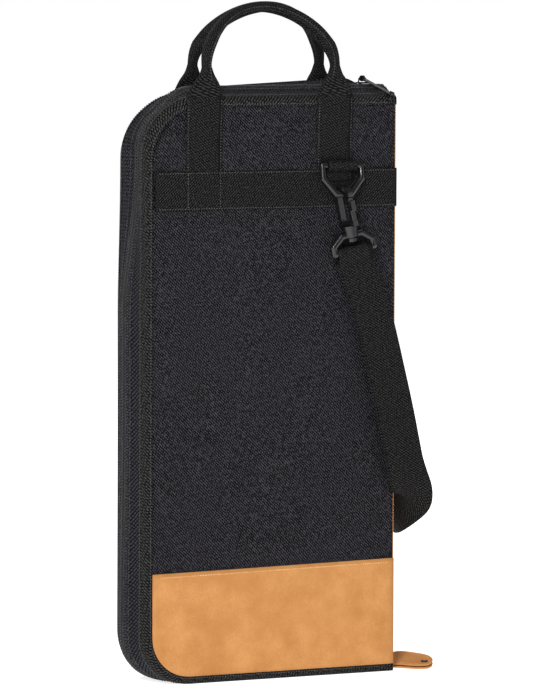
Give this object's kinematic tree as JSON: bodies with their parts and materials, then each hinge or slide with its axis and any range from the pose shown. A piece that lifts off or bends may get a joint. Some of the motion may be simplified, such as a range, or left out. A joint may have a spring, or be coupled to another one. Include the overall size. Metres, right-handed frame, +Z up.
{
  "type": "drum stick bag",
  "caption": "Padded black fabric case that opens like a book, with a zip on three sides, two webbing handles, suede foot patches and a clip-on shoulder strap.",
  "frame": {"origin": "middle of the bottom, on the zip line, where the case stands", "axes": "+X towards the spine, +Y towards the opening cover, +Z up"},
  "size_m": [0.2807, 0.0976, 0.5592],
  "materials": {
    "fabric_black": "woven polyester, matt",
    "binding_tape": "herringbone tape, matt",
    "webbing": "woven polypropylene webbing",
    "suede_tan": "brushed suede",
    "lining": "smooth woven lining",
    "foam": "closed-cell foam",
    "zip_coil": "nylon coil",
    "plastic_black": "moulded acetal, satin",
    "metal_black": "black lacquered zinc"
  },
  "bodies": {
    "back_shell": {"back_panel": "fabric_black", "back_foam": "foam", "back_lining": "lining", "back_suede_patch": "suede_tan", "back_binding": "binding_tape", "back_gusset": "fabric_black", "back_zip_tape": "binding_tape", "back_zip_coil": "zip_coil", "back_sleeve_front": "lining", "back_sleeve_floor": "lining", "back_sleeve_walls": "lining", "back_webbing_band": "webbing", "back_handle_legs": "webbing", "back_ring_loop": "webbing", "strap_near_webbing": "webbing"},
    "spine": {"spine_suede_strip": "suede_tan", "spine_panel": "fabric_black", "spine_foam": "foam", "spine_lining": "lining", "strap_turn_webbing": "webbing"},
    "front_cover": {"front_panel": "fabric_black", "front_foam": "foam", "front_lining": "lining", "front_suede_patch": "suede_tan", "front_binding": "binding_tape", "front_gusset": "fabric_black", "front_zip_tape": "binding_tape", "front_zip_coil": "zip_coil", "front_sleeve_front": "lining", "front_sleeve_floor": "lining", "front_sleeve_walls": "lining", "front_webbing_band": "webbing", "front_handle_legs": "webbing", "front_ring_loop": "webbing", "strap_far_webbing": "webbing"},
    "handle_back": {"back_handle_grip": "webbing"},
    "handle_front": {"front_handle_grip": "webbing"},
    "clip_back": {"back_d_ring": "plastic_black", "back_swivel_base": "plastic_black"},
    "hook_back": {"back_hook_body": "plastic_black"},
    "gate_back": {"back_hook_gate": "plastic_black"},
    "clip_front": {"front_d_ring": "plastic_black", "front_swivel_base": "plastic_black"},
    "hook_front": {"front_hook_body": "plastic_black"},
    "gate_front": {"front_hook_gate": "plastic_black"},
    "zip_slider": {"zip_slider_body": "metal_black"},
    "zip_pull": {"zip_pull_tab": "metal_black"},
    "pull_ring": {"zip_pull_ring": "metal_black"},
    "zip_tab": {"zip_tab_lower_suede": "suede_tan", "zip_tape_end": "binding_tape", "zip_tab_upper_suede": "suede_tan"},
    "adjuster": {"strap_adjuster": "plastic_black"}
  },
  "joints": [
    {"name": "spine_fold", "type": "hinge", "parent": "back_shell", "child": "spine", "pos_m": [0.1125, -0.0285, 0.24], "axis": [0, 0, -1], "range_deg": [0, 90], "deforming": ["strap_near_webbing", "strap_turn_webbing", "strap_far_webbing"]},
    {"name": "cover_fold", "type": "hinge", "parent": "spine", "child": "front_cover", "pos_m": [0.1125, 0.0285, 0.24], "axis": [0, 0, -1], "range_deg": [0, 90]},
    {"name": "handle_back_swing", "type": "hinge", "parent": "back_shell", "child": "handle_back", "pos_m": [0, -0.0308, 0.481], "axis": [1, 0, 0], "range_deg": [0, 110]},
    {"name": "handle_front_swing", "type": "hinge", "parent": "front_cover", "child": "handle_front", "pos_m": [0, 0.0308, 0.481], "axis": [-1, 0, 0], "range_deg": [0, 110]},
    {"name": "clip_back_swing", "type": "hinge", "parent": "back_shell", "child": "clip_back", "pos_m": [0.0605, -0.034, 0.424], "axis": [-1, 0, 0], "range_deg": [0, 50]},
    {"name": "hook_back_turn", "type": "hinge", "parent": "clip_back", "child": "hook_back", "pos_m": [0.0605, -0.03858, 0.39964], "axis": [0.2079, 0, -0.9781], "range_deg": [-15, 15]},
    {"name": "gate_back_press", "type": "hinge", "parent": "hook_back", "child": "gate_back", "pos_m": [0.06679, -0.04422, 0.37992], "axis": [-0.9192, -0.342, -0.1954], "range_deg": [0, 18], "stiffness_Nm_per_rad": 0.02, "springref_deg": -17.19},
    {"name": "clip_front_swing", "type": "hinge", "parent": "front_cover", "child": "clip_front", "pos_m": [0.0605, 0.034, 0.424], "axis": [1, 0, 0], "range_deg": [0, 50]},
    {"name": "hook_front_turn", "type": "hinge", "parent": "clip_front", "child": "hook_front", "pos_m": [0.0605, 0.03858, 0.39964], "axis": [0.2079, 0, -0.9781], "range_deg": [-15, 15]},
    {"name": "gate_front_press", "type": "hinge", "parent": "hook_front", "child": "gate_front", "pos_m": [0.06679, 0.04422, 0.37992], "axis": [0.9192, -0.342, 0.1954], "range_deg": [0, 18], "stiffness_Nm_per_rad": 0.02, "springref_deg": -17.19},
    {"name": "zip_slide", "type": "slide", "parent": "back_shell", "child": "zip_slider", "axis": [-1, 0, 0], "range_m": [0, 0.025]},
    {"name": "pull_flip", "type": "hinge", "parent": "zip_slider", "child": "zip_pull", "pos_m": [0.0955, 0.0009, 0.49429], "axis": [-0.9455, -0.3256, 0], "range_deg": [0, 110]},
    {"name": "pull_ring_swing", "type": "hinge", "parent": "zip_pull", "child": "pull_ring", "pos_m": [0.10642, -0.03081, 0.48234], "axis": [-0.9455, -0.3256, 0], "range_deg": [0, 25]},
    {"name": "tab_flex", "type": "hinge", "parent": "spine", "child": "zip_tab", "pos_m": [0.1141, 0, 0.0083], "axis": [0, -1, 0], "range_deg": [0, 60]},
    {"name": "adjuster_slide", "type": "slide", "parent": "front_cover", "child": "adjuster", "axis": [-0.2155, -0.0254, 0.9762], "range_m": [0, 0.04]}
  ],
  "couplings": [
    {"joint": "cover_fold", "follows": "spine_fold", "ratio": 1}
  ]
}
